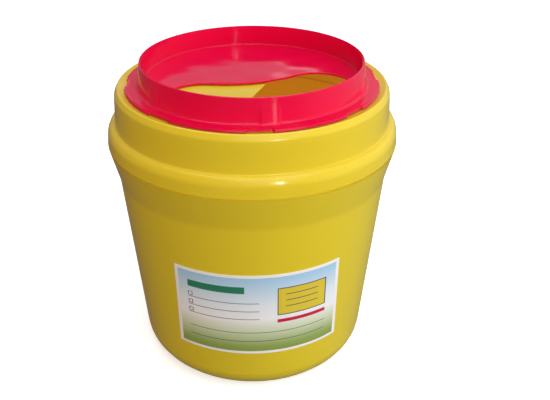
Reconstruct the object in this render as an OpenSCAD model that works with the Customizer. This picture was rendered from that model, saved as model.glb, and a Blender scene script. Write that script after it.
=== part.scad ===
// Round sharps container: a tapered bin, a snap-fit lid with a drop hole,
// a rotary shutter cap that covers or uncovers the hole, and a front label.
// Millimetres. The container stands on z = 0 and its axis is the Z axis.
// The label looks along -Y. Angles are measured from +X, counterclockwise.

/* [Bin] */
// Radius of the wall line where it meets the floor level
base_r = 95.2; // [80:0.1:115]
// Height of the tapered wall, up to the shoulder
wall_h = 164; // [120:1:220]
// How much wider the wall is at the shoulder than at the floor
wall_flare = 13.6; // [4:0.1:24]
// Thickness of the bin's wall and floor
wall_t = 1.8; // [1.4:0.1:3]
// Radius of the rounded bottom edge
base_round = 21; // [8:0.5:30]
// Height of the foot ring, by which the floor is raised in the middle
foot_h = 1.5; // [0.8:0.1:3]
// Width of the foot ring's flat
foot_w = 8; // [4:0.5:14]
// Height of the conical shoulder under the lid
shoulder_h = 27.5; // [20:0.5:40]
// How far the shoulder stands out from the wall
shoulder_out = 6.7; // [5:0.1:10]
// Radius of the bend between the wall and the shoulder
shoulder_round = 30; // [10:1:60]
// Radius of the two edges that meet at the seam under the lid
seam_round = 0.6; // [0.4:0.1:1]
// Height of the neck that enters the lid
neck_h = 9; // [8:0.5:11]
// How far the neck's snap bead stands out
neck_bead = 0.8; // [0.4:0.1:1]

/* [Lid] */
// Thickness of the lid's walls
lid_t = 2; // [1.6:0.1:2.4]
// Height of the belt that grips the bin
belt_h = 16; // [15.5:0.1:24]
// Taper of the belt, as radius lost over its height
belt_taper = 1.7; // [0:0.1:2.2]
// Radius of the belt's rounded top edge
belt_round = 4; // [3:0.1:4.6]
// Step from the belt's foot in to the collar's foot
collar_in = 6.9; // [6.8:0.1:9]
// Height of the collar above the belt
collar_h = 28.3; // [24:0.1:45]
// Taper of the collar, as radius lost over its height
collar_taper = 2; // [0:0.1:3]
// Radius of the crown's outer edge
crown_round = 3.8; // [3:0.1:4.2]
// Radius of the crown's inner edge, above the slope into the recess
crown_in_round = 1.6; // [1:0.1:1.8]
// Width of the crown, from the collar's side to the cap's recess
crown_w = 5.9; // [5.7:0.1:9]
// Depth of the recess that the cap's flange sits in
recess_h = 2.1; // [1.6:0.1:2.6]

/* [Rotary cap] */
// Width of the flange, from the ring's rim to the foot of its edge
flange_w = 11.8; // [11:0.1:15]
// Thickness of the flange
flange_t = 2; // [1.6:0.1:3]
// Height of the ring above the flange
ring_h = 18.3; // [12:0.1:30]
// Thickness of the ring
ring_t = 1.6; // [1.4:0.1:2.4]
// How much wider the ring is at its foot than at its rim
ring_draft = 1; // [0:0.1:1.5]
// Radius of the root between the ring and the flange
ring_root = 0.8; // [0.4:0.1:1.6]
// Thickness of the shutter plate
plate_t = 1.8; // [1.4:0.1:2.6]
// Height of the plate's top above the flange's top
plate_rise = 1.6; // [1:0.1:2]
// Number of grip fins round the ring
fin_count = 6; // [3:1:9]
// Thickness of a grip fin
fin_t = 3; // [2:0.1:5]
// How far a grip fin stands out from the ring's rim
fin_out = 3.6; // [2.5:0.1:6]
// Height of a grip fin
fin_h = 13.6; // [8:0.1:17]
// Radius of a grip fin's outer top corner
fin_round = 2.2; // [1:0.1:2.5]
// Angle from the drop hole to the first grip fin
fin_phase = -11; // [-30:1:30]
// Number of notches in the flange's edge
notch_count = 8; // [4:1:12]
// Angle that a notch covers
notch_a = 11; // [4:1:20]
// Depth of a notch
notch_depth = 2; // [1:0.1:3]
// Angle from the drop hole to the first notch
notch_phase = -13; // [-20:1:20]

/* [Drop holes] */
// Width of the solid margin outside the drop holes
hole_margin = 7.7; // [6:0.1:14]
// Radius of the drop holes' corners
hole_corner = 26; // [12:0.5:28]
// Distance from the axis to the straight edge of the lid's hole
lid_hole_off = 13.8; // [8:0.1:20]
// Distance from the axis to the edge of the curved hub in the cap's hole
cap_hub_off = 12.8; // [8:0.1:16]
// Radius of the curved hub
cap_hub_r = 90; // [60:1:140]
// Direction of the middle of the lid's hole
lid_hole_a = -20; // [-60:1:60]
// Turn of the cap from closed, as drawn
cap_turn = 126; // [0:1:180]
// Turn of the cap between closed and open
cap_travel = 180; // [150:1:180]

/* [Snap skirt under the cap] */
// Distance from the flange's edge in to the skirt
skirt_in = 5.3; // [5:0.1:6]
// Thickness of the skirt
skirt_t = 1.6; // [1.2:0.1:2]
// Length of the skirt below the flange
skirt_h = 7; // [6:0.1:9]
// How far the skirt's snap bead stands out
skirt_bead = 1; // [0.6:0.1:1.2]
// Thickness of the walls of the lid's groove
groove_t = 1.6; // [1.2:0.1:2]
// Length of the stop in the groove
stop_w = 8; // [5:0.5:12]
// Direction of the stop
stop_a = 90; // [0:1:180]

/* [Label] */
// Width of the label round the wall
label_w = 135; // [80:1:160]
// Height of the label
label_h = 79.5; // [40:0.5:100]
// Height of the label's lower edge above the floor level
label_z = 43.5; // [30:0.5:60]
// Direction of the label's middle
label_a = -87.7; // [-180:0.1:180]
// Tilt of the label on the wall
label_tilt = 0.6; // [-3:0.1:3]
// Thickness of the label
label_t = 0.25; // [0.15:0.05:0.5]

/* [Clearances] */
// Gap all round the snap fit of the lid on the bin
fit_gap = 0.3; // [0.2:0.05:0.5]
// Gap between the cap's flange or plate and the lid below it
lift_gap = 0.3; // [0.2:0.05:0.5]
// Gap beside the cap's round faces
run_gap = 0.5; // [0.35:0.05:0.6]
// Film of glue under the label
glue_gap = 0.05; // [0.02:0.01:0.2]

/* [Hidden] */
$fn = 180;
yellow = "#e6c81e";
red = "#dc0a32";
paper = "#e4f1ee";

// Bin levels and radii
taper = wall_flare / wall_h;
slant = sqrt(1 + taper * taper);
wall_r = base_r + wall_flare;
belt_r = wall_r + shoulder_out;
seam_z = wall_h + shoulder_h;
neck_r = belt_r - lid_t - fit_gap;
neck_lean = belt_taper / belt_h;
neck_top_r = neck_r - neck_lean * neck_h;
round_x = base_r + taper * base_round - base_round * slant;
foot_r = round_x - foot_w;
bead_z = seam_z + neck_h / 2;
bead_half = 1.4;

// Lid levels and radii
collar_root = 1.2;
belt_top_r = belt_r - belt_taper;
belt_top_z = seam_z + belt_h;
belt_edge = min(belt_round, collar_in - belt_taper - collar_root);
belt_edge_c = [belt_top_r - belt_edge, belt_top_z - belt_edge];
collar_foot_r = belt_r - collar_in;
collar_r = collar_foot_r - collar_taper;
crown_z = belt_top_z + collar_h;
recess_r = collar_r - crown_w;
recess_lip = 0.5;
crown_slope = 50;
seat_z = crown_z - recess_h;
inner_round = crown_round - lid_t;
bank_foot = [recess_r, seat_z + recess_lip];
bank_top = [collar_r - crown_round - crown_in_round * sin(crown_slope),
            crown_z - crown_in_round * (1 - cos(crown_slope))];
bank_lean = atan2(bank_top[1] - bank_foot[1], bank_top[0] - bank_foot[0]);

// Cap levels and radii
flange_r = recess_r - run_gap;
flange_z = seat_z + lift_gap;
flange_top = flange_z + flange_t;
flange_edge = 0.5;
lip_z = flange_top - flange_edge;
lip_r = recess_r + (lip_z - bank_foot[1]) / tan(bank_lean) - run_gap / sin(bank_lean);
lip_foot_z = lip_z - (lip_r - flange_r) * tan(bank_lean);
ring_r = flange_r - flange_w;
ring_in = ring_r - ring_t;
ring_foot_r = ring_r + ring_draft;
rim_z = flange_top + ring_h;
plate_top = flange_top + plate_rise;
plate_z = plate_top - plate_t;
plate_root = 1;
cap_hole_a = lid_hole_a - cap_travel + cap_turn;
hole_r = ring_in - hole_margin;

// Deck of the lid, under the shutter plate
deck_z = plate_z - lift_gap;
deck_r = ring_in - run_gap;

// Snap skirt of the cap and its groove in the lid
skirt_r = flange_r - skirt_in;
skirt_in_r = skirt_r - skirt_t;
skirt_z = flange_z - skirt_h;
bead_r = skirt_r + skirt_bead;
bead_h = 1.6;
bead_foot = 0.5;
groove_out = skirt_r + run_gap;
groove_in = skirt_in_r - run_gap;
groove_z = skirt_z - run_gap;
catch_r = bead_r + run_gap;
catch_z = skirt_z + bead_foot + bead_h + run_gap;
stop_h = bead_h + bead_foot + run_gap;
stop_half = asin(stop_w / 2 / groove_in);
stop_slack = 0.6;

// Tools: arc points, and the outlines of the two drop holes along +X
function arc(c, r, a0, a1, n = 6) =
    [for (i = [0:n]) let (a = a0 + (a1 - a0) * i / n) c + r * [cos(a), sin(a)]];

// The lid's hole has a straight edge between its corners
function lid_hole() =
    let (
        cx = lid_hole_off + hole_corner,
        cy = sqrt(pow(hole_r - hole_corner, 2) - cx * cx),
        a = atan2(cy, cx)
    )
    concat(
        arc([cx, cy], hole_corner, 180, a, 10),
        arc([0, 0], hole_r, a, -a, 20),
        arc([cx, -cy], hole_corner, -a, -180, 10)
    );

// The cap's hole has a curved hub that runs into its corners in one sweep
function cap_hole() =
    let (
        hub_x = cap_hub_off - cap_hub_r,
        mid = hole_r - hole_corner,
        reach = cap_hub_r + hole_corner,
        a = acos((mid * mid + hub_x * hub_x - reach * reach) / (2 * mid * hub_x)),
        c = mid * [cos(a), sin(a)],
        b = atan2(c[1], c[0] - hub_x)
    )
    concat(
        arc([hub_x, 0], cap_hub_r, -b, b, 12),
        arc(c, hole_corner, 180 + b, a, 12),
        arc([0, 0], hole_r, a, -a, 20),
        arc([c[0], -c[1]], hole_corner, -a, -180 - b, 12)
    );

// Radius of the bin's outside at a height on the tapered wall
function wall_at(z) = base_r + taper * z;

// A sector of a ring, used to cut notches and windows
module ring_sector(r0, r1, z0, z1, a0, a1) {
    rotate(a0)
        translate([0, 0, z0])
            rotate_extrude(angle = a1 - a0)
                translate([r0, 0])
                    square([r1 - r0, z1 - z0]);
}

// Bin: tapered wall, rounded bottom, foot ring, conical shoulder and snap neck
module bin_body() {
    lean = atan(taper);
    shoulder_slope = shoulder_out / shoulder_h;
    shoulder_lean = atan(shoulder_slope);
    bend_run = shoulder_round * tan((shoulder_lean - lean) / 2);
    bend_foot = [wall_r, wall_h] - bend_run * [sin(lean), cos(lean)];
    bend_c = bend_foot + shoulder_round * [cos(lean), -sin(lean)];
    seam_in = seam_round * (shoulder_slope + 1 / cos(shoulder_lean));
    inner_shift = wall_t * slant;
    inner_neck = neck_r - wall_t;
    inner_foot = wall_h + (inner_neck - wall_r + inner_shift) / shoulder_slope;
    outside = concat(
        [[0, foot_h], [foot_r - foot_h, foot_h], [foot_r, 0]],
        arc([round_x, base_round], base_round, -90, -lean, 10),
        arc(bend_c, shoulder_round, 180 - lean, 180 - shoulder_lean, 4),
        arc([belt_r - seam_in, seam_z - seam_round], seam_round, -shoulder_lean, 90, 4),
        [
            [neck_r, seam_z],
            [neck_r - neck_lean * (bead_z - bead_half - seam_z), bead_z - bead_half],
            [neck_r - neck_lean * (bead_z - seam_z) + neck_bead, bead_z],
            [neck_r - neck_lean * (bead_z + bead_half - seam_z), bead_z + bead_half],
            [neck_top_r, seam_z + neck_h]
        ]
    );
    inside = concat(
        [
            [neck_top_r - wall_t, seam_z + neck_h],
            [inner_neck, seam_z],
            [inner_neck, inner_foot],
            [wall_r - inner_shift, wall_h]
        ],
        arc([round_x, base_round], base_round - wall_t, -lean, -90, 10),
        [[foot_r, wall_t], [foot_r - foot_h, foot_h + wall_t], [0, foot_h + wall_t]]
    );
    color(yellow)
        rotate_extrude()
            polygon(concat(outside, inside));
}

// Half section of the lid, deck included
function lid_section() =
    let (
        low_r = belt_r - lid_t,
        belt_lean = atan(belt_taper / (belt_h - belt_edge)),
        seam_in = seam_round * (tan(belt_lean) + 1 / cos(belt_lean)),
        inner_at = function (z) low_r - neck_lean * (z - seam_z),
        top_in = belt_top_z - lid_t,
        neck_clear = seam_z + neck_h + fit_gap,
        under_z = seat_z - lid_t
    )
    concat(
        arc([belt_r - seam_in, seam_z + seam_round], seam_round, -90, belt_lean, 4),
        arc(belt_edge_c, belt_edge, 0, 90),
        arc([collar_foot_r + collar_root, belt_top_z + collar_root], collar_root, 270, 180, 4),
        arc([collar_r - crown_round, crown_z - crown_round], crown_round, 0, 90),
        arc([collar_r - crown_round, crown_z - crown_in_round], crown_in_round, 90, 90 + crown_slope, 4),
        [
            bank_foot,
            [recess_r, seat_z],
            [groove_out, seat_z],
            [groove_out, catch_z + catch_r - groove_out],
            [catch_r, catch_z],
            [catch_r, groove_z],
            [groove_in, groove_z],
            [groove_in, seat_z],
            [deck_r, seat_z],
            [deck_r, deck_z],
            [0, deck_z],
            [0, deck_z - lid_t],
            [deck_r - lid_t, deck_z - lid_t],
            [deck_r - lid_t, under_z],
            [groove_in - groove_t, under_z],
            [groove_in - groove_t, groove_z - groove_t],
            [catch_r + groove_t, groove_z - groove_t],
            [catch_r + groove_t, under_z]
        ],
        arc([collar_r - lid_t - inner_round, under_z - inner_round], inner_round, 90, 0, 4),
        [
            [collar_foot_r - lid_t, top_in]
        ],
        arc(belt_edge_c, belt_edge - lid_t, 90, 0, 4),
        [
            [inner_at(neck_clear), neck_clear],
            [inner_at(bead_z + bead_half + fit_gap), bead_z + bead_half + fit_gap],
            [inner_at(bead_z) + neck_bead, bead_z],
            [inner_at(bead_z - bead_half - fit_gap), bead_z - bead_half - fit_gap],
            [low_r, seam_z]
        ]
    );

// Lid: belt, collar, crown, recess, groove with its stop, and deck with the drop hole
module lid() {
    cut_h = deck_z - groove_z;
    color(yellow) {
        difference() {
            rotate_extrude()
                polygon(lid_section());
            rotate(lid_hole_a)
                translate([0, 0, groove_z])
                    linear_extrude(cut_h + lid_t)
                        polygon(lid_hole());
        }
        ring_sector(groove_in - groove_t / 2, catch_r + groove_t / 2,
                    groove_z - groove_t / 2, groove_z + stop_h,
                    stop_a - stop_half, stop_a + stop_half);
    }
}

// Half section of the cap: shutter plate, ring, flange and snap skirt
function cap_section() =
    let (
        rim_round = ring_t * 0.45,
        bead_mid = skirt_z + bead_foot + bead_h / 2
    )
    concat(
        [[0, plate_top]],
        arc([ring_in - plate_root, plate_top + plate_root], plate_root, 270, 360, 4),
        arc([ring_in + rim_round, rim_z - rim_round], rim_round, 180, 90, 4),
        arc([ring_r - rim_round, rim_z - rim_round], rim_round, 90, 0, 4),
        arc([ring_foot_r + ring_root, flange_top + ring_root], ring_root, 180, 270, 5),
        arc([lip_r - flange_edge, lip_z], flange_edge, 90, 0, 3),
        [
            [flange_r, lip_foot_z],
            [flange_r, flange_z],
            [skirt_r, flange_z],
            [skirt_r, bead_mid + bead_h / 2],
            [bead_r, bead_mid],
            [skirt_r, bead_mid - bead_h / 2],
            [skirt_r, skirt_z],
            [skirt_in_r, skirt_z],
            [skirt_in_r, flange_z],
            [ring_in, flange_z],
            [ring_in, plate_z],
            [0, plate_z]
        ]
    );

// Outline of a grip fin, radius against height, rooted in the ring
function fin_outline() =
    let (
        root_r = ring_r - ring_t / 2,
        tip_r = ring_r + fin_out,
        root_z = flange_top - flange_t / 2,
        tip_z = flange_top + fin_h
    )
    concat(
        [[root_r, root_z], [tip_r, root_z]],
        arc([tip_r - fin_round, tip_z - fin_round], fin_round, 0, 90),
        [[root_r, tip_z]]
    );

// Rotary cap: the shutter plate's hole faces cap_hole_a
module rotary_cap() {
    window_0 = stop_a - stop_half - stop_slack - cap_hole_a - (cap_travel - cap_turn);
    window_1 = stop_a + stop_half + stop_slack - cap_hole_a + cap_turn;
    color(red)
        rotate(cap_hole_a) {
            difference() {
                rotate_extrude()
                    polygon(cap_section());
                translate([0, 0, plate_z - plate_t])
                    linear_extrude(3 * plate_t)
                        polygon(cap_hole());
                for (i = [0:notch_count - 1])
                    let (a = notch_phase + i * 360 / notch_count)
                        ring_sector(flange_r - notch_depth, flange_r + notch_depth,
                                    flange_z - flange_t / 2, flange_top + flange_t / 2,
                                    a - notch_a / 2, a + notch_a / 2);
                ring_sector(skirt_in_r - skirt_t / 2, bead_r + skirt_t / 2,
                            skirt_z - skirt_t / 2, groove_z + stop_h + run_gap,
                            window_0, window_1);
            }
            for (i = [0:fin_count - 1])
                rotate(fin_phase + i * 360 / fin_count)
                    translate([0, fin_t / 2, 0])
                        rotate([90, 0, 0])
                            linear_extrude(fin_t)
                                polygon(fin_outline());
        }
}

// Label: a thin sheet on the tapered wall, cut square and set with a slight tilt
module label() {
    mid_z = label_z + label_h / 2;
    in_gap = glue_gap * slant;
    out_gap = (glue_gap + label_t) * slant;
    low = label_z - label_h / 2;
    high = label_z + label_h * 3 / 2;
    chord = 2 * wall_at(mid_z) * sin(label_w / wall_at(mid_z) * 90 / PI);
    color(paper)
        intersection() {
            rotate_extrude()
                polygon([
                    [wall_at(low) + in_gap, low],
                    [wall_at(low) + out_gap, low],
                    [wall_at(high) + out_gap, high],
                    [wall_at(high) + in_gap, high]
                ]);
            rotate(label_a)
                translate([0, 0, mid_z])
                    rotate([label_tilt, 0, 0])
                        translate([0, -chord / 2, -label_h / 2])
                            cube([2 * wall_r, chord, label_h]);
        }
}

bin_body();
lid();
rotary_cap();
label();
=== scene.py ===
"""Looks of a round sharps container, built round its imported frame.

A yellow tapered bin carries a snap-fit lid. A red rotary cap turns in the lid, and its
shutter plate covers or uncovers the drop hole below it. A printed film is stuck on the
front of the bin. Sizes are in millimetres, angles in degrees from +X and heights above
the floor, unless a note says otherwise.
"""

import logging
import math
from dataclasses import dataclass, replace
from enum import Enum
from typing import Sequence

import bpy
import numpy as np
from mathutils import Matrix, Vector


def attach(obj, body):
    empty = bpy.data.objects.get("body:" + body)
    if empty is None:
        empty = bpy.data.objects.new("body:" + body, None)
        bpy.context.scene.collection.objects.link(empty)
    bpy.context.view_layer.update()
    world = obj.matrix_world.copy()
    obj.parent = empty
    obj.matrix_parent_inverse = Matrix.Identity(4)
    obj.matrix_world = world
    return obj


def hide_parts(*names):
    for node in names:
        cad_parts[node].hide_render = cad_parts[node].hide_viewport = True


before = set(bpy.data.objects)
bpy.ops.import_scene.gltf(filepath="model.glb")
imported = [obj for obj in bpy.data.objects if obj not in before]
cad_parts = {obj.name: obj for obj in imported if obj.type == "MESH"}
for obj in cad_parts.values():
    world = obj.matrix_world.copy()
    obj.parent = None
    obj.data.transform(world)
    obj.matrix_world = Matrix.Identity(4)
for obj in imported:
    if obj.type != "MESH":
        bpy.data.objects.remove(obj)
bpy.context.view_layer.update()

MM = 0.001
TURN = 2 * math.pi
log = logging.getLogger("sharps_container")

Colour = tuple[float, float, float]
Spot = tuple[float, float, float]
Span = tuple[float, float]
Corner = tuple[float, ...]
Socket = bpy.types.NodeSocket
Thing = bpy.types.Object
Array = np.ndarray
Feeds = dict[str | int, object]


class Body(Enum):
    """The rigid bodies of the frame that pieces ride on."""

    CONTAINER = "container"
    CAP = "cap"


class Slot(Enum):
    """The record's material slots."""

    BIN = "bin_yellow"
    LID = "lid_yellow"
    CAP = "cap_red"
    LABEL = "label_film"


@dataclass(frozen=True)
class Section:
    """A half section drawn through corners, with tangent arcs and even stretches.

    Attributes:
        corners: Radius and height of each corner in drawing order, and for a rounded one its
            bend as well; the first and the last stay sharp.
    """

    corners: Sequence[Corner]
    arc_step = 11.0
    arc_least = 3
    hold = 0.7
    hold_room = 4 * hold
    stretch = 14.0
    apart = 1e-6

    def _arc(self, index: int) -> Array:
        """Rounds one corner.

        Args:
            index: The corner's place in the list.

        Returns:
            The points that stand for the corner, one row each.
        """
        corner = self.corners[index]
        here = np.array(corner[:2])
        if len(corner) == 2 or index in (0, len(self.corners) - 1):
            return here[None, :]
        bend = corner[2]
        back = self.corners[index - 1][:2] - here
        on = self.corners[index + 1][:2] - here
        back /= np.linalg.norm(back)
        on /= np.linalg.norm(on)
        half = math.acos(float(np.clip(back @ on, -1, 1))) / 2
        reach = bend / math.tan(half)
        middle = (back + on) / np.linalg.norm(back + on)
        centre = here + middle * bend / math.sin(half)
        start = here + back * reach - centre
        first = math.atan2(start[1], start[0])
        turn = math.pi - 2 * half
        side = -1.0 if start[0] * on[1] - start[1] * on[0] < 0 else 1.0
        steps = max(self.arc_least, math.ceil(math.degrees(turn) / self.arc_step))
        return centre + bend * compass(first + side * np.linspace(0, turn, steps + 1))

    def line(self) -> Array:
        """Draws the whole section.

        Returns:
            Points (r, z), with holding points that keep the straight stretches flat.
        """
        pieces = [self._arc(index) for index in range(len(self.corners))]
        points = [pieces[0]]
        for before, after in zip(pieces, pieces[1:]):
            gap = after[0] - before[-1]
            length = float(np.linalg.norm(gap))
            if length > self.hold_room:
                ends = self.hold / length
                count = max(2, math.ceil(length / self.stretch) + 1)
                shares = np.linspace(ends, 1 - ends, count)
                points.append(before[-1] + shares[:, None] * gap)
            points.append(after)
        joined = np.vstack(points)
        steps = np.linalg.norm(np.diff(joined, axis=0), axis=1)
        return joined[np.concatenate([[True], steps > self.apart])]


def compass(angles: Array) -> Array:
    """Unit vectors (x, y) along angles in radians, one row each."""
    return np.column_stack([np.cos(angles), np.sin(angles)])


def even_columns(count: int) -> Array:
    """Angles of evenly spaced mesh columns, in radians, for a full turn."""
    return np.arange(count) * TURN / count


def ease(share: Array) -> Array:
    """Holds values between 0 and 1 and softens both ends of their rise."""
    held = np.clip(share, 0, 1)
    return held * held * (3 - 2 * held)


def resample(line: Array, count: int) -> Array:
    """Spaces points evenly along a line.

    Args:
        line: Points (r, z).
        count: How many points to return.

    Returns:
        Points at equal distances along the line, its ends included.
    """
    steps = np.linalg.norm(np.diff(line, axis=0), axis=1)
    along = np.concatenate([[0.0], np.cumsum(steps)])
    places = np.linspace(0, along[-1], count)
    return np.column_stack([np.interp(places, along, line[:, axis]) for axis in (0, 1)])


def spin(line: Array, columns: Array) -> Array:
    """Turns section points round the axis.

    Args:
        line: Points (r, z) of all columns, or of each column along a second dimension.
        columns: Angles of the mesh's columns, in radians.

    Returns:
        Points shaped (rows, columns, 3).
    """
    if line.ndim == 2:
        line = np.repeat(line[:, None, :], len(columns), 1)
    r = line[:, :, 0]
    return np.stack([r * np.cos(columns), r * np.sin(columns), line[:, :, 1]], axis=2)


def show(name: str, data: bpy.types.ID) -> Thing:
    """Puts new data into the scene.

    Args:
        name: The object's name.
        data: A mesh, a lamp or a camera.

    Returns:
        The object.
    """
    made = bpy.data.objects.new(name, data)
    bpy.context.scene.collection.objects.link(made)
    return made


class Mould:
    """Makes finished mesh objects from rows of points."""

    sharp_angle = 38.0

    @classmethod
    def _finish(cls, name: str, points: Array, faces: list[list[int]]) -> Thing:
        """Turns points and faces into a smooth-shaded object.

        Args:
            name: The object's name.
            points: Points in millimetres, one row each.
            faces: Point numbers of each face, anticlockwise seen from outside.

        Returns:
            The object, linked to the scene.
        """
        mesh = bpy.data.meshes.new(name)
        mesh.from_pydata((points * MM).tolist(), [], faces)
        mesh.validate()
        mesh.shade_smooth()
        mesh.set_sharp_from_angle(angle=math.radians(cls.sharp_angle))
        return show(name, mesh)

    @staticmethod
    def _quads(number: Array) -> Array:
        """Joins neighbouring rows of point numbers by quads, all round the axis."""
        right = np.roll(number, -1, 1)
        return np.stack([number[:-1], right[:-1], right[1:], number[1:]], 2).reshape(-1, 4)

    @classmethod
    def ring(cls, name: str, rows: Array) -> Thing:
        """Makes a shell that closes round the axis and along its rows, as a ring does.

        Args:
            name: The object's name.
            rows: Points shaped (rows, columns, 3), outwards on top and inwards below.

        Returns:
            The object.
        """
        number = np.arange(rows.shape[0] * rows.shape[1]).reshape(rows.shape[:2])
        quads = cls._quads(np.vstack([number, number[:1]]))
        return cls._finish(name, rows.reshape(-1, 3), quads[:, [0, 3, 2, 1]].tolist())

    @classmethod
    def pot(cls, name: str, rows: Array) -> Thing:
        """Makes a shell whose first and last rows are single points on the axis.

        Args:
            name: The object's name.
            rows: Points shaped (rows, columns, 3), outwards below and inwards on top.

        Returns:
            The object.
        """
        inner = rows[1:-1]
        number = np.arange(inner.shape[0] * inner.shape[1]).reshape(inner.shape[:2])
        right = np.roll(number, -1, 1)
        tip = np.full(len(right[0]), number.size)
        low = np.column_stack([tip, right[0], number[0]])
        high = np.column_stack([tip + 1, number[-1], right[-1]])
        faces = cls._quads(number).tolist() + low.tolist() + high.tolist()
        points = np.vstack([inner.reshape(-1, 3), rows[0, :1], rows[-1, :1]])
        return cls._finish(name, points, faces)

    @classmethod
    def sheet(cls, name: str, front: Array, back: Array) -> Thing:
        """Makes a thin closed sheet, with a UV map over its front and back.

        Args:
            name: The object's name.
            front: Points of the front, shaped (rows, columns, 3).
            back: Points of the back, shaped as front.

        Returns:
            The object.
        """
        rows, columns, _ = front.shape
        size = rows * columns
        number = np.arange(size).reshape(rows, columns)
        low, high = number[:-1], number[1:]
        faces = np.stack([low[:, :-1], low[:, 1:], high[:, 1:], high[:, :-1]], 2).reshape(-1, 4)
        edge = np.concatenate([number[0], number[1:, -1], number[-1, -2::-1], number[-2:0:-1, 0]])
        after = np.roll(edge, -1)
        sides = np.column_stack([after, edge, edge + size, after + size])
        every = np.vstack([faces, faces[:, ::-1] + size, sides]).tolist()
        made = cls._finish(name, np.vstack([front.reshape(-1, 3), back.reshape(-1, 3)]), every)
        across = np.tile(np.linspace(0, 1, columns), rows)
        up = np.repeat(np.linspace(0, 1, rows), columns)
        places = np.tile(np.column_stack([across, up]), (2, 1))
        loops = np.zeros(len(made.data.loops), int)
        made.data.loops.foreach_get("vertex_index", loops)
        layer = made.data.uv_layers.new(name=PrintedFilm.uv_name)
        layer.data.foreach_set("uv", places[loops].ravel())
        return made


@dataclass(frozen=True)
class DropHole:
    """A drop hole whose middle lies along one direction, drawn by four tangent arcs.

    Attributes:
        hub_off: Distance from the axis to the edge of the hub.
        hub_r: Radius of the hub's edge; a very large one makes the edge straight.
        facing: Direction of the hole's middle.
        lip: Radius of the hole's rounded lips.
        rim_r: Radius of the outer arc, about the container's axis.
        corner_r: Radius of the two corners.
        swell: Length and start of the plate's slow wave along x, and along y.
        ripples: Height, lean, length and start of each wave on top of it.
        calm: Width of the plate's border in which the waves die out.
    """

    hub_off: float
    hub_r: float
    facing: float
    lip: float
    rim_r: float = 79.1
    corner_r: float = 26.0
    swell: tuple[Span, Span] = ((9.0, 0.6), (5.0, 1.1))
    ripples: Sequence[tuple[float, ...]] = ((0.4, 0.7, 6.5, 0.0), (0.35, -1.9, 11.0, 2.0))
    calm: float = 12.0
    arc_points = 160
    sheet_rows = 40
    lip_rows = 5

    def outline(self) -> Array:
        """Draws the hole along +X, clockwise from the lower end of the hub.

        Returns:
            Points (x, y) close together, without a repeated last point.
        """
        away = self.hub_r - self.hub_off
        middle = self.rim_r - self.corner_r
        reach = self.hub_r + self.corner_r
        cosine = (reach**2 - middle**2 - away**2) / (2 * middle * away)
        swing = math.acos(cosine)
        corner = middle * np.array([math.cos(swing), math.sin(swing)])
        spread = math.atan2(corner[1], corner[0] + away)
        arcs = (
            ((-away, 0.0), self.hub_r, -spread, spread),
            (corner, self.corner_r, math.pi + spread, swing),
            ((0.0, 0.0), self.rim_r, swing, -swing),
            (corner * (1, -1), self.corner_r, -swing, -math.pi - spread),
        )
        points = []
        for centre, radius, start, end in arcs:
            angles = np.linspace(start, end, self.arc_points, endpoint=False)
            points.append(np.array(centre) + radius * compass(angles))
        return np.vstack(points)

    def lips(self, columns: Array, join_r: float) -> tuple[Array, Array]:
        """Finds the place on the outline that faces each mesh column.

        Args:
            columns: Angles of the mesh's columns, in radians.
            join_r: Radius of the circle where the plate joins the shell round it.

        Returns:
            Points (x, y) of the outline, and unit normals that point into the plate.
        """
        outline = self.outline()
        tangent = np.roll(outline, -1, 0) - np.roll(outline, 1, 0)
        tangent /= np.linalg.norm(tangent, axis=1)[:, None]
        normal = np.column_stack([-tangent[:, 1], tangent[:, 0]])
        middle = (self.hub_off + self.rim_r) / 2
        sweep = np.unwrap(np.arctan2(outline[:, 1], outline[:, 0] - middle))
        sweep = np.append(sweep, sweep[0] - TURN)
        facing = math.radians(self.facing)
        turned = columns - facing
        aim = np.arctan2(join_r * np.sin(turned), join_r * np.cos(turned) - middle)
        aim = sweep[0] - np.mod(sweep[0] - aim, TURN)
        found = []
        for values in (outline, normal):
            closed = np.vstack([values, values[:1]])
            x, y = (np.interp(-aim, -sweep, closed[:, axis]) for axis in (0, 1))
            found.append(np.column_stack([
                x * math.cos(facing) - y * math.sin(facing),
                x * math.sin(facing) + y * math.cos(facing),
            ]))
        return found[0], found[1]

    def lift(self, flat: Array, join_r: float, warp: float) -> Array:
        """Tells how far the plate's waves raise it.

        Args:
            flat: Points (x, y) on the plate.
            join_r: Radius of the joining circle.
            warp: Height of the waves.

        Returns:
            The rise at each point.
        """
        x, y = flat[:, 0], flat[:, 1]
        (x_length, x_start), (y_length, y_start) = self.swell
        wave = np.sin(x / x_length + x_start) * np.sin(y / y_length + y_start)
        for height, lean, length, start in self.ripples:
            wave += height * np.sin((x + lean * y) / length + start)
        fade = np.clip((join_r - np.linalg.norm(flat, axis=1)) / self.calm, 0, 1)
        return warp * fade * wave

    def plate(self, columns: Array, join_r: float, low: float, high: float,
              warp: float) -> Array:
        """Fills the space between the joining circle and the hole with a plate.

        Args:
            columns: Angles of the mesh's columns, in radians.
            join_r: Radius of the joining circle.
            low: Height of the plate's underside.
            high: Height of the plate's top.
            warp: How far the plate's faces wave up and down.

        Returns:
            Rows from the lower joining circle round the lip to the upper one, without
            the two circles themselves.
        """
        lip, normal = self.lips(columns, join_r)
        circle = join_r * compass(columns)
        shoulder = lip + normal * self.lip
        half = []
        for share in np.sin(np.linspace(0, math.pi / 2, self.sheet_rows + 1))[1:-1]:
            flat = circle + share * (shoulder - circle)
            half.append((flat, 0.0, self.lift(flat, join_r, warp)))
        for bend in np.radians(np.linspace(0, 90, self.lip_rows)):
            flat = lip + normal * (self.lip * (1 - math.sin(bend)))
            half.append((flat, self.lip * (1 - math.cos(bend)), np.zeros(len(columns))))
        rows = [np.column_stack([flat, low + rise + wave]) for flat, rise, wave in half]
        rows += [np.column_stack([flat, high - rise + wave]) for flat, rise, wave in half[::-1]]
        return np.array(rows)


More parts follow.
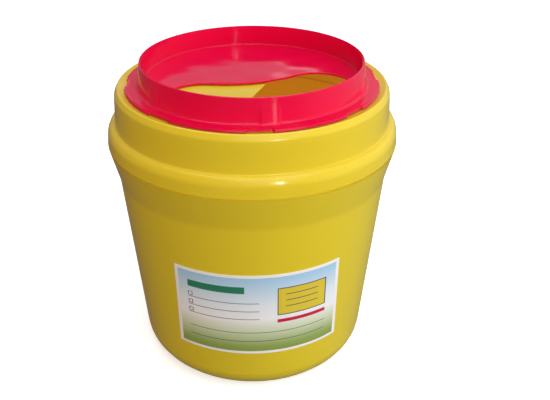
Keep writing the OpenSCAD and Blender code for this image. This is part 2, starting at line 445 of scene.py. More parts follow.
@dataclass
class NodePen:
    """Draws a node tree, one node at a time."""

    tree: bpy.types.NodeTree
    noise_middle = (0.3, 0.7)
    span_ends = ("From Min", "From Max", "To Min", "To Max")
    colour_inputs = (6, 7)
    colour_output = 2

    def feed(self, node: bpy.types.Node, values: Feeds) -> None:
        """Feeds a node's inputs.

        Args:
            node: The node.
            values: A socket, a number or a colour for each input, by its name or place.
        """
        for key, value in values.items():
            socket = node.inputs[key]
            if isinstance(value, Socket):
                self.tree.links.new(value, socket)
            elif socket.type == "RGBA":
                socket.default_value = (*value, 1.0)
            else:
                socket.default_value = value

    def add(self, kind: str, values: Feeds | None = None, **settings: object) -> bpy.types.Node:
        """Adds a node.

        Args:
            kind: The node's kind, without the word that all shader nodes begin with.
            values: What its inputs are fed with, by name or place.
            settings: Its own settings.

        Returns:
            The node.
        """
        node = self.tree.nodes.new("ShaderNode" + kind)
        for key, value in settings.items():
            setattr(node, key, value)
        self.feed(node, values or {})
        return node

    def noise(self, scale: float, detail: float, where: Socket) -> Socket:
        """Cloudy values from 0 to 1, with so many clouds in a metre and so many finer layers."""
        values = {"Scale": scale, "Detail": detail, "Vector": where}
        return self.add("TexNoise", values).outputs["Fac"]

    def calc(self, kind: str, *terms: Socket | float) -> Socket:
        """The result of a Math node's operation on its terms."""
        return self.add("Math", dict(enumerate(terms)), operation=kind).outputs["Value"]

    def axes(self, where: Socket) -> list[Socket]:
        """The three parts of a place."""
        return list(self.add("SeparateXYZ", {"Vector": where}).outputs)

    def span(self, value: Socket, source: Span, target: Span) -> Socket:
        """Maps values from one span to another, and holds them at its ends."""
        ends = dict(zip(self.span_ends, source + target))
        return self.add("MapRange", {"Value": value, **ends}).outputs["Result"]

    def spread(self, value: Socket, low: float, high: float) -> Socket:
        """Maps the middle of a noise's range to the span from low to high."""
        return self.span(value, self.noise_middle, (low, high))

    def paint(self, share: Socket, under: Socket | Colour, over: Socket | Colour) -> Socket:
        """Mixes two colours, of which the upper one shows by a share from 0 to 1."""
        values = {"Factor": share, **dict(zip(self.colour_inputs, (under, over)))}
        return self.add("Mix", values, data_type="RGBA").outputs[self.colour_output]

    def ramp(self, value: Socket, stops: Sequence[tuple[float, Colour]]) -> Socket:
        """Colours along a value.

        Args:
            value: The value from 0 to 1.
            stops: Pairs of place and colour, lowest place first.

        Returns:
            The colour's socket.
        """
        node = self.add("ValToRGB", {"Fac": value})
        marks = node.color_ramp.elements
        while len(marks) < len(stops):
            marks.new(1.0)
        for mark, (place, colour) in zip(marks, stops):
            mark.position = place
            mark.color = (*colour, 1.0)
        return node.outputs["Color"]

    def bump(self, height: Socket, depth: float, under: Feeds | None = None) -> Socket:
        """Roughens the surface normal.

        Args:
            height: The surface's height, from 0 to 1.
            depth: The height's full size in metres.
            under: The Normal of a bump below this one, if there is one.

        Returns:
            The new normal's socket.
        """
        values = {"Strength": 1.0, "Distance": depth, "Height": height}
        return self.add("Bump", values | (under or {})).outputs["Normal"]


class MaterialPen(NodePen):
    """Draws the node tree of a new material round one Principled shader."""

    def __init__(self, name: str) -> None:
        """Starts the material.

        Args:
            name: The material's name.
        """
        self.material = bpy.data.materials.new(name)
        self.material.use_nodes = True
        super().__init__(self.material.node_tree)
        self.tree.nodes.clear()
        self.shader = self.add("BsdfPrincipled")
        self.add("OutputMaterial", {"Surface": self.shader.outputs["BSDF"]})

    def place(self) -> Socket:
        """The point being shaded, in the part's frame, in metres."""
        return self.add("TexCoord").outputs["Object"]

    def shade(self, values: Feeds) -> None:
        """Feeds the material's shader."""
        self.feed(self.shader, values)


@dataclass(frozen=True)
class MouldedPlastic:
    """Injection-moulded plastic: slight clouds of tone, a fine grain and soft warps.

    Depths and places are in metres, and noises have a scale and a detail.

    Attributes:
        smooth: Roughness where the surface is cleanest.
        rough: Roughness where it is most rubbed.
        glow: Share of the light that scatters inside the wall.
        glow_reach: How far each colour travels inside the wall.
        gloss: Strength of the mirror-like part, 0.5 for ordinary plastic.
        inner_light: Strength of a painted glow on the inner faces, an emission that stands in for
            daylight coming through the wall.
        inner_middle: A point that every inner face looks at.
        inner_edge: Where that painted glow is full and gone, as a face turns from that point.
        bending: Refractive index.
    """

    name: str
    light: Colour
    deep: Colour
    smooth: float
    rough: float
    glow: float
    glow_reach: Colour
    gloss: float
    grain_depth: float
    warp_depth: float
    inner_light: float = 0.0
    # Colour of the painted glow on the inner faces.
    inner_tone: Colour = (1.0, 0.44, 0.05)
    inner_middle: Spot = (0.0, 0.0, 0.09)
    inner_edge: Span = (-0.02, 0.0)
    clouds: Span = (16.0, 3.0)
    rubs: Span = (120.0, 4.0)
    grains: Span = (1400.0, 2.0)
    warps: Span = (30.0, 1.0)
    bending: float = 1.49

    def material(self) -> bpy.types.Material:
        """Builds the node material.

        Returns:
            The material.
        """
        pen = MaterialPen(self.name)
        here = pen.place()
        tones = pen.spread(pen.noise(*self.clouds, here), 0.0, 1.0)
        warped = {"Normal": pen.bump(pen.noise(*self.warps, here), self.warp_depth)}
        pen.shade({
            "Base Color": pen.paint(tones, self.deep, self.light),
            "Roughness": pen.spread(pen.noise(*self.rubs, here), self.smooth, self.rough),
            "Normal": pen.bump(pen.noise(*self.grains, here), self.grain_depth, warped),
            "Specular IOR Level": self.gloss,
            "IOR": self.bending,
            "Subsurface Weight": self.glow,
            "Subsurface Radius": self.glow_reach,
            "Subsurface Scale": 1.0,
        })
        if self.inner_light > 0:
            self._paint_inner_glow(pen, here)
        return pen.material

    def _paint_inner_glow(self, pen: MaterialPen, here: Socket) -> None:
        """Paints a glow on the inner faces: an emission that stands in for the light a thin wall
        lets through.

        Args:
            pen: The material's pen.
            here: The point being shaded.
        """
        outward = pen.add("VectorMath", {0: here, 1: self.inner_middle}, operation="SUBTRACT")
        sides = {0: outward.outputs["Vector"], 1: pen.add("TexCoord").outputs["Normal"]}
        facing = pen.add("VectorMath", sides, operation="DOT_PRODUCT").outputs["Value"]
        # Painted light: an amber emission on the faces that look towards the axis, in place of
        # daylight through the wall.
        pen.shade({
            "Emission Color": self.inner_tone,
            "Emission Strength": pen.span(facing, self.inner_edge, (self.inner_light, 0.0)),
        })


@dataclass(frozen=True)
class Block:
    """A plain printed block, placed from the label's lower left corner."""

    left: float
    low: float
    wide: float
    high: float
    ink: Colour


@dataclass(frozen=True)
class PrintedFilm:
    """A printed film: a white margin round a sky-to-grass tint, with plain form blocks.

    Noises have a scale and a detail; the warps' depth is in metres.
    """

    wide: float
    high: float
    margin: float = 2.6
    name: str = "label_print"
    rubs: Span = (160.0, 3.0)
    rough: Span = (0.32, 0.42)
    warps: Span = (90.0, 2.0)
    warp_depth: float = 0.00012
    gloss: float = 0.4
    uv_name = "print"
    white = (0.95, 0.94, 0.95)
    ink = (0.035, 0.03, 0.10)
    violet = (0.10, 0.03, 0.26)
    green = (0.03, 0.22, 0.12)
    yellow = (0.78, 0.60, 0.05)
    red = (0.62, 0.015, 0.05)
    tint = (
        (0.00, (0.24, 0.34, 0.06)),
        (0.10, (0.31, 0.42, 0.10)),
        (0.30, (0.68, 0.75, 0.52)),
        (0.45, (0.95, 0.94, 0.96)),
        (0.62, (0.85, 0.90, 0.97)),
        (1.00, (0.34, 0.62, 0.88)),
    )

    def blocks(self) -> list[Block]:
        """Lays out the printed blocks, lowest layer first.

        Returns:
            The blocks.
        """
        made = [Block(10, 62, 46, 6.5, self.green)]
        for low in (52, 44, 36):
            made.append(Block(10, low, 58, 0.55, self.ink))
            made.append(Block(10, low + 1.4, 3.6, 3.6, self.violet))
            made.append(Block(10.6, low + 2.0, 2.4, 2.4, self.white))
        made.append(Block(83, 39, 41, 27, self.ink))
        made.append(Block(83.8, 39.8, 39.4, 25.4, self.yellow))
        made += [Block(90, low, 27, 0.7, self.ink) for low in (47, 53, 59)]
        made.append(Block(83, 31.5, 41, 3.4, self.red))
        made += [Block(10, low, 114, 0.5, self.ink) for low in (22, 13)]
        return made

    def material(self) -> bpy.types.Material:
        """Builds the node material.

        Returns:
            The material.
        """
        pen = MaterialPen(self.name)
        x, y, _ = pen.axes(pen.add("UVMap", uv_map=self.uv_name).outputs["UV"])
        across = pen.calc("MULTIPLY", x, self.wide)
        up = pen.calc("MULTIPLY", y, self.high)
        field = Block(self.margin, self.margin, self.wide - 2 * self.margin,
                      self.high - 2 * self.margin, self.white)
        colour = pen.paint(self._mask(pen, across, up, field), self.white, pen.ramp(y, self.tint))
        for block in self.blocks():
            colour = pen.paint(self._mask(pen, across, up, block), colour, block.ink)
        here = pen.place()
        pen.shade({
            "Base Color": colour,
            "Roughness": pen.spread(pen.noise(*self.rubs, here), *self.rough),
            "Normal": pen.bump(pen.noise(*self.warps, here), self.warp_depth),
            "Specular IOR Level": self.gloss,
        })
        return pen.material

    @staticmethod
    def _mask(pen: MaterialPen, across: Socket, up: Socket, block: Block) -> Socket:
        """A value that is 1 on a block and 0 elsewhere.

        Args:
            pen: The material's pen.
            across: Millimetres from the label's left edge.
            up: Millimetres from its lower edge.
            block: The block.

        Returns:
            The mask's socket.
        """
        columns = pen.calc("COMPARE", across, block.left + block.wide / 2, block.wide / 2)
        rows = pen.calc("COMPARE", up, block.low + block.high / 2, block.high / 2)
        return pen.calc("MULTIPLY", columns, rows)


@dataclass(frozen=True)
class PaleFloor:
    """A matt pale floor with a faint mottle and a light of its own, its sheen."""

    name: str = "pale_floor"
    light: Colour = (0.95, 0.95, 0.95)
    deep: Colour = (0.93, 0.93, 0.93)
    mottle: Span = (6.0, 3.0)
    rough: float = 0.9
    sheen: float = 0.5
    sheen_tone: Colour = (1.0, 1.0, 1.0)

    def material(self) -> bpy.types.Material:
        """Builds the node material.

        Returns:
            The material.
        """
        pen = MaterialPen(self.name)
        tones = pen.spread(pen.noise(*self.mottle, pen.place()), 0.0, 1.0)
        pen.shade({
            "Base Color": pen.paint(tones, self.deep, self.light),
            "Roughness": self.rough,
            "Emission Color": self.sheen_tone,
            "Emission Strength": self.sheen,
        })
        return pen.material


# Both yellows carry a painted glow on their inner faces (inner_light), standing in for daylight
# through the wall.
YELLOW_BIN = MouldedPlastic(
    name="yellow_bin_plastic", light=(0.785, 0.61, 0.028), deep=(0.775, 0.60, 0.026),
    smooth=0.20, rough=0.25, glow=0.15, glow_reach=(0.0015, 0.001, 0.0003),
    gloss=0.5, grain_depth=0.0000004, warp_depth=0.00001, inner_light=0.135,
)
YELLOW_LID = replace(
    YELLOW_BIN, name="yellow_lid_plastic", light=(0.765, 0.575, 0.027),
    deep=(0.755, 0.565, 0.025), smooth=0.16, rough=0.20,
)
RED_CAP = MouldedPlastic(
    name="red_cap_plastic", light=(0.755, 0.001, 0.052), deep=(0.74, 0.0009, 0.049),
    smooth=0.1, rough=0.13, glow=0.3, glow_reach=(0.004, 0.0008, 0.001),
    gloss=0.4, grain_depth=0.0000003, warp_depth=0.00001,
)


@dataclass
class Bin:
    """The tapered bin with its rounded bottom, foot ring, shoulder and snap neck."""

    base_r: float = 95.2
    wall_h: float = 164.0
    wall_flare: float = 13.6
    wall_t: float = 1.8
    base_round: float = 21.0
    foot_h: float = 1.5
    foot_w: float = 8.0
    shoulder_h: float = 27.5
    shoulder_out: float = 6.7
    shoulder_round: float = 30.0
    seam_round: float = 0.6
    neck_h: float = 9.0
    neck_in: float = 2.3
    neck_lean: float = 0.10625
    bead: float = 0.8
    bead_half: float = 1.4
    edge: float = 0.5
    columns: int = 240

    @property
    def taper(self) -> float:
        """Radius gained for each millimetre of height on the wall."""
        return self.wall_flare / self.wall_h

    @property
    def belt_r(self) -> float:
        """Radius at the top of the shoulder."""
        return self.base_r + self.wall_flare + self.shoulder_out

    @property
    def seam_z(self) -> float:
        """Height of the seam under the lid."""
        return self.wall_h + self.shoulder_h

    def wall_at(self, z: Array) -> Array:
        """Radius of the wall's outside at a height."""
        return self.base_r + self.taper * z

    def corners(self) -> list[Corner]:
        """Draws the half section, from under the floor round the neck to the inside.

        Returns:
            The corners, the first and the last on the axis.
        """
        slant = math.hypot(1.0, self.taper)
        inset = self.wall_t * slant
        wall_r = self.base_r + self.wall_flare
        foot_r = self.base_r + self.taper * self.base_round - self.base_round * slant - self.foot_w
        neck_r = self.belt_r - self.neck_in
        top_z = self.seam_z + self.neck_h
        top_r = neck_r - self.neck_lean * self.neck_h
        bead_z = self.seam_z + self.neck_h / 2
        bead_r = neck_r - self.neck_lean * self.neck_h / 2
        drop = self.neck_lean * self.bead_half
        inner_neck = neck_r - self.wall_t
        slope = self.shoulder_out / self.shoulder_h
        inner_foot = self.wall_h + (inner_neck - wall_r + inset) / slope
        inner_base = self.base_r + self.taper * self.wall_t - inset
        raised = self.foot_h + self.wall_t
        return [
            (0.0, self.foot_h),
            (foot_r - self.foot_h, self.foot_h, self.edge),
            (foot_r, 0.0, self.edge),
            (self.base_r, 0.0, self.base_round),
            (wall_r, self.wall_h, self.shoulder_round),
            (self.belt_r, self.seam_z, self.seam_round),
            (neck_r, self.seam_z, self.edge / 2),
            (bead_r + drop, bead_z - self.bead_half),
            (bead_r + self.bead, bead_z, self.edge),
            (bead_r - drop, bead_z + self.bead_half),
            (top_r, top_z, self.edge),
            (top_r - self.wall_t, top_z, self.edge),
            (inner_neck, self.seam_z),
            (inner_neck, inner_foot, self.edge),
            (wall_r - inset, self.wall_h, self.shoulder_round),
            (inner_base, self.wall_t, self.base_round - self.wall_t),
            (foot_r, self.wall_t, self.edge),
            (foot_r - self.foot_h, raised, self.edge),
            (0.0, raised),
        ]

    def build(self) -> Thing:
        """Makes the bin's mesh.

        Returns:
            The bin, in place of its frame node.
        """
        made = Mould.pot("bin", spin(Section(self.corners()).line(), even_columns(self.columns)))
        self.dress(made)
        return made

    @staticmethod
    def dress(made: Thing) -> None:
        """Gives the bin its plastic and its place in the frame.

        Args:
            made: The bin.
        """
        made.data.materials.append(YELLOW_BIN.material())
        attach(made, Body.CONTAINER.value)
        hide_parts("bin_body")


@dataclass
class Lid:
    """The snap-fit lid: belt, collar, crown, recess, groove and the deck with its hole.

    Edges and swells say how far in and down they lie, and their radius.
    """

    bin: Bin
    wall_t: float = 2.0
    belt_h: float = 16.0
    belt_taper: float = 1.7
    belt_edge: Spot = (3.3, 1.2, 4.5)
    belt_swell: Spot = (0.9, 5.9, 10.0)
    collar_in: float = 6.9
    collar_h: float = 28.3
    collar_taper: float = 2.0
    collar_root: float = 0.7
    crown_edge: Spot = (-0.45, 4.6, 5.0)
    crown_swell: Spot = (-0.85, 9.3, 14.0)
    ridge_in: float = 2.0
    ridge_round: float = 1.3
    crown_w: float = 7.05
    recess_h: float = 2.1
    groove_out: float = 95.4
    groove_in: float = 92.8
    groove_catch: float = 96.4
    groove_z: float = 226.5
    catch_z: float = 229.6
    groove_t: float = 1.6
    snap_gap: float = 0.3
    deck_r: float = 86.3
    deck_z: float = 235.5
    deck_warp: float = 0.03
    join_r: float = 82.5
    edge: float = 0.4
    columns: int = 240

    @property
    def crown_z(self) -> float:
        """Height of the crown."""
        return self.bin.seam_z + self.belt_h + self.collar_h

    @property
    def collar_r(self) -> float:
        """Radius of the collar at the crown."""
        return self.bin.belt_r - self.collar_in - self.collar_taper

    @property
    def recess_r(self) -> float:
        """Radius of the recess that the cap's flange sits in."""
        return self.collar_r - self.crown_w

    @property
    def seat_z(self) -> float:
        """Height of the recess's floor."""
        return self.crown_z - self.recess_h

    def hole(self) -> DropHole:
        """The drop hole in the deck, with a straight hub edge."""
        return DropHole(hub_off=12.5, hub_r=1.0e5, facing=-20.0, lip=0.5)

    def corners(self) -> list[Corner]:
        """Draws the half section, from the deck's top over the crown to its underside.

        Returns:
            The corners, the first and the last on the joining circle.
        """
        edge = self.edge
        belt_r = self.bin.belt_r
        seam_z = self.bin.seam_z
        seat_z = self.seat_z
        belt_top = seam_z + self.belt_h
        foot_r = belt_r - self.collar_in
        under = seat_z - self.wall_t
        lean = self.belt_taper / self.belt_h
        low_r = belt_r - self.wall_t
        top_in = belt_top - self.wall_t
        neck_half = self.bin.neck_h / 2
        neck_clear = self.bin.neck_h + self.snap_gap
        bead_z = seam_z + neck_half
        catch = self.bin.bead_half + self.snap_gap
        channel_r = self.groove_catch + self.groove_t
        channel_in = self.groove_in - self.groove_t
        channel_z = self.groove_z - self.groove_t
        deck_in = self.deck_r - self.wall_t
        deck_low = self.deck_z - self.wall_t
        edge_in, edge_down, edge_round = self.belt_edge
        swell_in, swell_down, swell_round = self.belt_swell
        over_in, over_down, over_round = self.crown_edge
        high_in, high_down, high_round = self.crown_swell
        return [
            (self.join_r, self.deck_z),
            (self.deck_r, self.deck_z, edge),
            (self.deck_r, seat_z, edge),
            (self.groove_in, seat_z, edge),
            (self.groove_in, self.groove_z, edge),
            (self.groove_catch, self.groove_z, edge),
            (self.groove_catch, self.catch_z),
            (self.groove_out, self.catch_z + self.groove_catch - self.groove_out),
            (self.groove_out, seat_z, edge),
            (self.recess_r, seat_z, edge),
            (self.collar_r - self.ridge_in, self.crown_z, self.ridge_round),
            (self.collar_r - over_in, self.crown_z - over_down, over_round),
            (self.collar_r - high_in, self.crown_z - high_down, high_round),
            (foot_r, belt_top, self.collar_root),
            (belt_r - edge_in, belt_top - edge_down, edge_round),
            (belt_r - swell_in, belt_top - swell_down, swell_round),
            (belt_r, seam_z, self.bin.seam_round),
            (low_r, seam_z, edge),
            (low_r - lean * (neck_half - catch), bead_z - catch),
            (low_r - lean * neck_half + self.bin.bead, bead_z, edge),
            (low_r - lean * (neck_half + catch), bead_z + catch),
            (low_r - lean * neck_clear, seam_z + neck_clear, edge),
            (belt_r - edge_in - self.wall_t, top_in - edge_down, edge_round - self.wall_t),
            (foot_r - self.wall_t, top_in, edge),
            (self.collar_r - self.wall_t, under, self.wall_t),
            (channel_r, under, edge),
            (channel_r, channel_z, edge),
            (channel_in, channel_z, edge),
            (channel_in, under, edge),
            (deck_in, under, edge),
            (deck_in, deck_low, edge),
            (self.join_r, deck_low),
        ]

    def build(self) -> Thing:
        """Makes the lid's mesh.

        Returns:
            The lid, in place of its frame node.
        """
        columns = even_columns(self.columns)
        shell = spin(Section(self.corners()).line(), columns)
        low = self.deck_z - self.wall_t
        deck = self.hole().plate(columns, self.join_r, low, self.deck_z, self.deck_warp)
        made = Mould.ring("lid_shell", np.concatenate([shell, deck]))
        self.dress(made)
        return made

    @staticmethod
    def dress(made: Thing) -> None:
        """Gives the lid its plastic and its place in the frame.

        Args:
            made: The lid.
        """
        made.data.materials.append(YELLOW_LID.material())
        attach(made, Body.CONTAINER.value)
        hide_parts("lid")


@dataclass
class RotaryCap:
    """The red cap: shutter plate, ring, notched flange, grip fins and snap skirt.

    Attributes:
        rim_share: The rim's radius, for each millimetre of the ring's thickness.
        fin_clear: Room outside the fins, for each millimetre of their root's radius.
        column_room: Room round close mesh columns, for each step of the even ones.
    """

    lid: Lid
    edge_gap: float = 0.35
    lift_gap: float = 0.12
    flange_w: float = 12.6
    flange_t: float = 2.18
    flange_edge: float = 0.7
    lip_w: float = 2.4
    lip_h: float = 0.4
    lip_round: float = 1.0
    ring_h: float = 18.3
    ring_t: float = 1.9
    ring_draft: float = 2.8
    ring_root: float = 2.2
    rim_share: float = 0.45
    plate_t: float = 1.8
    plate_rise: float = 2.0
    plate_root: float = 1.0
    plate_warp: float = 0.14
    hole_facing: float = -76.0
    fin_count: int = 6
    fin_phase: float = -6.0
    fin_t: float = 11.0
    fin_out: float = 1.3
    fin_h: float = 15.0
    fin_flank: float = 3.0
    fin_root: float = 1.8
    fin_clear: float = 1.5
    fin_rows: int = 46
    notch_count: int = 8
    notch_phase: float = -11.0
    notch_a: float = 11.0
    notch_depth: float = 2.0
    notch_ease: float = 0.8
    skirt_in: float = 4.3
    skirt_t: float = 1.6
    skirt_h: float = 7.0
    skirt_bead: float = 1.0
    bead_h: float = 1.6
    bead_foot: float = 0.5
    deck_gap: float = 0.5
    join_r: float = 82.5
    edge: float = 0.3
    columns: int = 240
    column_room: float = 0.35
    flank_columns: int = 10
    ease_columns: int = 9

    @property
    def flange_r(self) -> float:
        """Radius of the flange's edge."""
        return self.lid.recess_r - self.edge_gap

    @property
    def flange_z(self) -> float:
        """Height of the flange's underside."""
        return self.lid.seat_z + self.lift_gap

    @property
    def flange_top(self) -> float:
        """Height of the flange's top."""
        return self.flange_z + self.flange_t

    @property
    def ring_r(self) -> float:
        """Radius of the ring's outside at its rim."""
        return self.flange_r - self.flange_w

    @property
    def fin_tip(self) -> float:
        """Radius of the fins' outer edges at the flange."""
        return self.wall_at(0.0) + self.fin_out

    @property
    def fin_foot(self) -> float:
        """Radius on the flange just outside the fins."""
        return self.fin_tip + self.fin_clear * self.fin_root

    @property
    def fin_start(self) -> Corner:
        """The place on the ring's outside just above the fins."""
        return (self.wall_at(self.fin_h), self.flange_top + self.fin_h)

    def wall_at(self, height: float) -> float:
        """Radius of the ring's drafted outside at a height above the flange's top."""
        return self.ring_r + self.ring_draft * (1 - height / self.ring_h)

    def hole(self) -> DropHole:
        """The drop hole in the shutter plate, with a curved hub."""
        return DropHole(hub_off=11.2, hub_r=90.0, facing=self.hole_facing, lip=0.6)

    def marks(self, phase: float, count: int) -> Array:
        """Directions of even marks, in radians, from one at a phase from the hole's middle."""
        first = self.hole_facing + phase
        return np.radians(first + 360.0 / count * np.arange(count))

    def fin_marks(self) -> Array:
        """Directions of the fins, in radians."""
        return self.marks(self.fin_phase, self.fin_count)

    def notch_marks(self) -> Array:
        """Directions of the notches, in radians."""
        return self.marks(self.notch_phase, self.notch_count)

    def column_angles(self) -> Array:
        """Chooses the mesh's columns: even ones, and close ones at fins and notches.

        Returns:
            Angles in radians, in rising order.
        """
        flank = self.fin_t / 2 + self.fin_flank * np.linspace(0, 1, self.flank_columns)
        fins = np.concatenate([-flank, [0.0], flank]) / self.fin_tip
        slope = self.notch_ease * np.linspace(-1, 1, self.ease_columns) / self.flange_r
        half = math.radians(self.notch_a / 2)
        notches = np.concatenate([slope - half, slope + half])
        pairs = ((self.fin_marks(), fins), (self.notch_marks(), notches))
        close = np.concatenate([np.add.outer(marks, steps).ravel() for marks, steps in pairs])
        close = np.mod(close, TURN)
        even = even_columns(self.columns)
        keep = even[self._nearest(even, close) > self.column_room * TURN / self.columns]
        return np.unique(np.concatenate([keep, close]))

    @staticmethod
    def _nearest(columns: Array, marks: Array) -> Array:
        """Angle from each column to the nearest mark, in radians."""
        return np.abs((columns[:, None] - marks + math.pi) % TURN - math.pi).min(1)

    def fin_share(self, columns: Array) -> Array:
        """How much of a fin's outline each column takes, from 0 on the bare ring to 1."""
        side = self._nearest(columns, self.fin_marks()) * self.fin_tip - self.fin_t / 2
        return ease(1 - side / self.fin_flank)

    def notch_share(self, columns: Array) -> Array:
        """How deep the flange's edge is notched at each column, from 0 to 1.

        Args:
            columns: The columns' angles, in radians.

        Returns:
            The share of the full depth at each column.
        """
        half = math.radians(self.notch_a / 2)
        side = (self._nearest(columns, self.notch_marks()) - half) * self.flange_r
        return ease(0.5 - side / (2 * self.notch_ease))

    def notched(self, line: Array) -> Array:
        """Draws the flange's section in the middle of a notch, point for point.

        Args:
            line: Points (r, z) of the section outside the notches.

        Returns:
            The points' radii.
        """
        r, z = line[:, 0], line[:, 1]
        notch_r = self.flange_r - self.notch_depth
        squeeze = (notch_r - self.fin_foot) / (self.flange_r - self.fin_foot)
        top = self.fin_foot + np.clip(r - self.fin_foot, 0, None) * squeeze
        under = z < self.flange_z + self.edge / 2
        return np.where(under, np.minimum(r, notch_r), np.minimum(r, top))

    def inner_line(self) -> Array:
        """Draws the section from the plate over the rim to just above the fins.

        Returns:
            Points (r, z).
        """
        ring_in = self.ring_r - self.ring_t
        plate_top = self.flange_top + self.plate_rise
        rim_z = self.flange_top + self.ring_h
        rim_round = self.rim_share * self.ring_t
        return Section([
            (self.join_r, plate_top),
            (ring_in, plate_top, self.plate_root),
            (ring_in, rim_z, rim_round),
            (self.ring_r, rim_z, rim_round),
            self.fin_start,
        ]).line()

    def side_lines(self) -> list[Array]:
        """Draws the ring's outside twice, point for point.

        Returns:
            The bare ring's line and a fin's line.
        """
        foot = (self.fin_foot, self.flange_top)
        bare = (self.wall_at(0.0), self.flange_top, self.ring_root)
        fin = (self.fin_tip, self.flange_top, self.fin_root)
        lines = [Section([self.fin_start, bend, foot]).line() for bend in (bare, fin)]
        return [resample(line, self.fin_rows) for line in lines]

    def lower_line(self) -> Array:
        """Draws the section from the flange's top round its edge and skirt to the plate.

        Returns:
            Points (r, z).
        """
        edge = self.edge
        flange_r = self.flange_r
        flange_z = self.flange_z
        step_r = self.lid.deck_r + self.deck_gap
        lip_z = self.flange_top + self.lip_h
        skirt_r = flange_r - self.skirt_in
        skirt_in = skirt_r - self.skirt_t
        skirt_z = flange_z - self.skirt_h
        bead_z = skirt_z + self.bead_foot + self.bead_h / 2
        plate_z = self.flange_top + self.plate_rise - self.plate_t
        return Section([
            (self.fin_foot, self.flange_top),
            (flange_r - self.lip_w, self.flange_top, self.lip_round),
            (flange_r - self.lip_w / 2, lip_z, self.lip_round / 2),
            (flange_r, lip_z, self.flange_edge),
            (flange_r, flange_z, edge),
            (skirt_r, flange_z, edge),
            (skirt_r, bead_z + self.bead_h / 2),
            (skirt_r + self.skirt_bead, bead_z, edge),
            (skirt_r, bead_z - self.bead_h / 2),
            (skirt_r, skirt_z, edge / 2),
            (skirt_in, skirt_z, edge),
            (skirt_in, flange_z, edge),
            (step_r, flange_z, edge),
            (step_r, plate_z, edge),
            (self.join_r, plate_z),
        ]).line()

    def build(self) -> Thing:
        """Makes the cap's mesh.

        Returns:
            The cap, in place of its frame node.
        """
        columns = self.column_angles()
        inner = self.inner_line()
        bare, fin = self.side_lines()
        lower = self.lower_line()
        share = self.fin_share(columns)
        side = bare[:, None, :] + share[None, :, None] * (fin - bare)[:, None, :]
        under = np.repeat(lower[:, None, :], len(columns), 1)
        under[:, :, 0] -= self.notch_share(columns) * (lower[:, 0] - self.notched(lower))[:, None]
        rows = [spin(line, columns) for line in (inner, side[1:], under[1:])]
        low, high = lower[-1, 1], inner[0, 1]
        rows.append(self.hole().plate(columns, self.join_r, low, high, self.plate_warp))
        made = Mould.ring("shutter_cap", np.concatenate(rows))
        self.dress(made)
        return made

    @staticmethod
    def dress(made: Thing) -> None:
        """Gives the cap its plastic and its place in the frame.

        Args:
            made: The cap.
        """
        made.data.materials.append(RED_CAP.material())
        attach(made, Body.CAP.value)
        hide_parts("rotary_cap")


@dataclass
class Label:
    """The printed film on the front of the bin."""

    bin: Bin
    wide: float = 135.0
    high: float = 79.5
    low_z: float = 43.5
    facing: float = -87.7
    tilt: float = 0.6
    film_t: float = 0.25
    glue_t: float = 0.05
    columns: int = 72
    rows: int = 30

    def face(self, lift: float) -> Array:
        """Lays the label's rectangle on the tapered wall.

        Args:
            lift: Distance from the wall.

        Returns:
            Points shaped (rows, columns, 3), the lower left corner first.
        """
        mid_z = self.low_z + self.high / 2
        mid_r = self.bin.wall_at(mid_z)
        chord = 2 * mid_r * math.sin(self.wide / mid_r / 2)
        across, up = np.meshgrid(
            np.linspace(-chord / 2, chord / 2, self.columns),
            np.linspace(-self.high / 2, self.high / 2, self.rows),
        )
        tilt = math.radians(self.tilt)
        along = across * math.cos(tilt) - up * math.sin(tilt)
        z = mid_z + across * math.sin(tilt) + up * math.cos(tilt)
        r = self.bin.wall_at(z) + lift * math.hypot(1.0, self.bin.taper)
        angle = math.radians(self.facing) + np.arcsin(along / r)
        return np.stack([r * np.cos(angle), r * np.sin(angle), z], axis=2)

    def build(self) -> Thing:
        """Makes the label's mesh.

        Returns:
            The label, in place of its frame node.
        """
        front = self.face(self.glue_t + self.film_t)
        made = Mould.sheet("front_label", front, self.face(self.glue_t))
        self.dress(made)
        return made

    def dress(self, made: Thing) -> None:
        """Gives the label its print and its place in the frame.

        Args:
            made: The label.
        """
        made.data.materials.append(PrintedFilm(self.wide, self.high).material())
        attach(made, Body.CONTAINER.value)
        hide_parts("label")


@dataclass(frozen=True)
class Lamp:
    """A soft lamp of the studio, placed and sized in metres.

    Attributes:
        aim: The point it looks at.
        mirrored: Whether glossy surfaces show it.
    """

    name: str
    spot: Spot
    aim: Spot
    wide: float
    high: float
    watts: float
    tone: Colour = (1.0, 1.0, 1.0)
    mirrored: bool = True

    def build(self) -> None:
        """Makes the lamp."""
        data = bpy.data.lights.new(self.name, "AREA")
        data.shape = "RECTANGLE"
        data.size = self.wide
        data.size_y = self.high
        data.energy = self.watts
        data.color = self.tone
        made = show(self.name, data)
        made.location = self.spot
        aim = Vector(self.aim) - Vector(self.spot)
        made.rotation_euler = aim.to_track_quat("-Z", "Y").to_euler()
        made.visible_glossy = self.mirrored


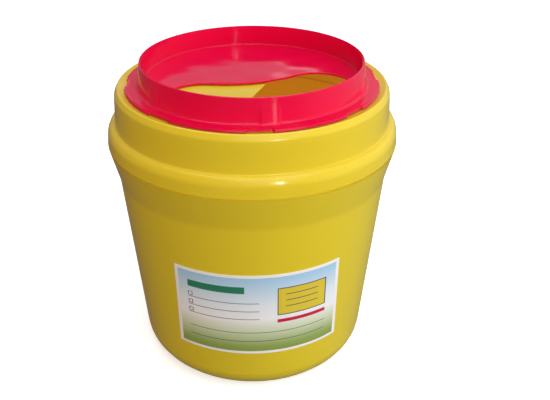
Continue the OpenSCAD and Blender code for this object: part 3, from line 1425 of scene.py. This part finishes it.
@dataclass
class Studio:
    """The floor, the soft light and the camera; places are in metres.

    The sky's tones run from left to right. It gets stronger with height, by sky_rise and
    sky_strength, and from front to back, by sky_depth and sky_front.
    """

    floor_r: float = 6.0
    floor_columns: int = 96
    sky_tones: Sequence[tuple[float, Colour]] = (
        (0.0, (0.21, 0.2, 0.2)),
        (0.5, (0.39, 0.39, 0.46)),
        (0.8, (0.60, 0.61, 0.64)),
        (1.0, (0.95, 0.95, 0.95)),
    )
    sky_rise: Span = (-0.4, 0.2)
    sky_strength: Span = (0.32, 1.0)
    sky_depth: Span = (-1.0, 0.2)
    sky_front: Span = (0.4, 1.0)
    camera_spot: Spot = (0.0, -0.5422, 0.4312)
    camera_pitch: float = 29.3
    camera_roll: float = -0.4
    focal: float = 47.5
    sensor: float = 36.0
    shift_x: float = 0.0407
    shift_y: float = 0.00145
    middle: Spot = (0.0, 0.0, 0.15)
    top: Spot = (0.0, 0.0, 0.245)

    def lamps(self) -> list[Lamp]:
        """Lists the lamps.

        Returns:
            The lamps.
        """
        return [
            Lamp("window", (1.9, -0.75, 0.5), self.middle, 1.5, 1.5, 21.5, (0.97, 1.0, 1.0), False),
            Lamp("ceiling", (0.0, 0.3, 2.4), self.middle, 2.2, 2.2, 22.0),
            Lamp("key", (0.4, -1.3, 1.7), self.middle, 2.0, 1.6, 11.0, (1.0, 0.98, 0.95)),
            Lamp("room", (-0.5, -2.0, 0.5), self.middle, 2.2, 1.2, 10.0, (1.0, 0.84, 0.6), False),
            Lamp("glow", (-1.9, -0.4, 0.6), self.middle, 1.5, 1.2, 6.2, (1.0, 0.5, 0.1), False),
            Lamp("fill", (0.1, -1.5, 1.05), self.middle, 0.6, 0.6, 2.0, mirrored=False),
            Lamp("panel", (0.25, 2.45, 1.08), self.top, 0.26, 0.2, 0.1),
            Lamp("flash", (0.336, -0.997, 0.562), self.top, 0.03, 0.03, 1.4),
            Lamp("strip", (0.235, -0.645, 0.3), self.top, 0.025, 0.09, 0.03),
        ]

    def build(self) -> None:
        """Makes the floor, sky, lamps and camera."""
        self.lay_floor()
        self.light_sky()
        for lamp in self.lamps():
            lamp.build()
        self.set_camera()

    def lay_floor(self) -> None:
        """Lays a round pale floor at height 0."""
        ring = even_columns(self.floor_columns)
        points = [(self.floor_r * math.cos(a), self.floor_r * math.sin(a), 0.0) for a in ring]
        mesh = bpy.data.meshes.new("floor")
        mesh.from_pydata(points, [], [tuple(range(len(points)))])
        made = show("floor", mesh)
        made.data.materials.append(PaleFloor().material())
        made.visible_glossy = False
        made.visible_diffuse = False

    def light_sky(self) -> None:
        """Fills the scene with soft light that is brighter on the right, behind and above."""
        world = bpy.data.worlds.new("soft_sky")
        world.use_nodes = True
        pen = NodePen(world.node_tree)
        x, y, z = pen.axes(pen.add("TexCoord").outputs["Generated"])
        across = pen.span(x, (-1.0, 1.0), (0.0, 1.0))
        above = pen.span(z, self.sky_rise, self.sky_strength)
        behind = pen.span(y, self.sky_depth, self.sky_front)
        pen.feed(world.node_tree.nodes["Background"], {
            "Color": pen.ramp(across, self.sky_tones),
            "Strength": pen.calc("MULTIPLY", above, behind),
        })
        bpy.context.scene.world = world
        bpy.context.scene.view_settings.view_transform = "Standard"

    def set_camera(self) -> None:
        """Sets the camera at the photograph's viewing angle."""
        data = bpy.data.cameras.new("camera")
        data.sensor_width = self.sensor
        data.lens = self.focal
        data.shift_x = self.shift_x
        data.shift_y = self.shift_y
        made = show("camera", data)
        made.location = self.camera_spot
        pitch = Matrix.Rotation(math.radians(90 - self.camera_pitch), 3, "X")
        roll = Matrix.Rotation(math.radians(self.camera_roll), 3, "Z")
        made.rotation_euler = (pitch @ roll).to_euler()
        bpy.context.scene.camera = made


def main() -> None:
    """Builds the studio and the container's pieces in order."""
    logging.basicConfig(level=logging.INFO, format="%(name)s: %(message)s")
    Studio().build()
    bin_shell = Bin()
    lid = Lid(bin_shell)
    for part in (bin_shell, lid, RotaryCap(lid), Label(bin_shell)):
        made = part.build()
        log.info("%s: %d faces", made.name, len(made.data.polygons))


if __name__ == "__main__":
    main()
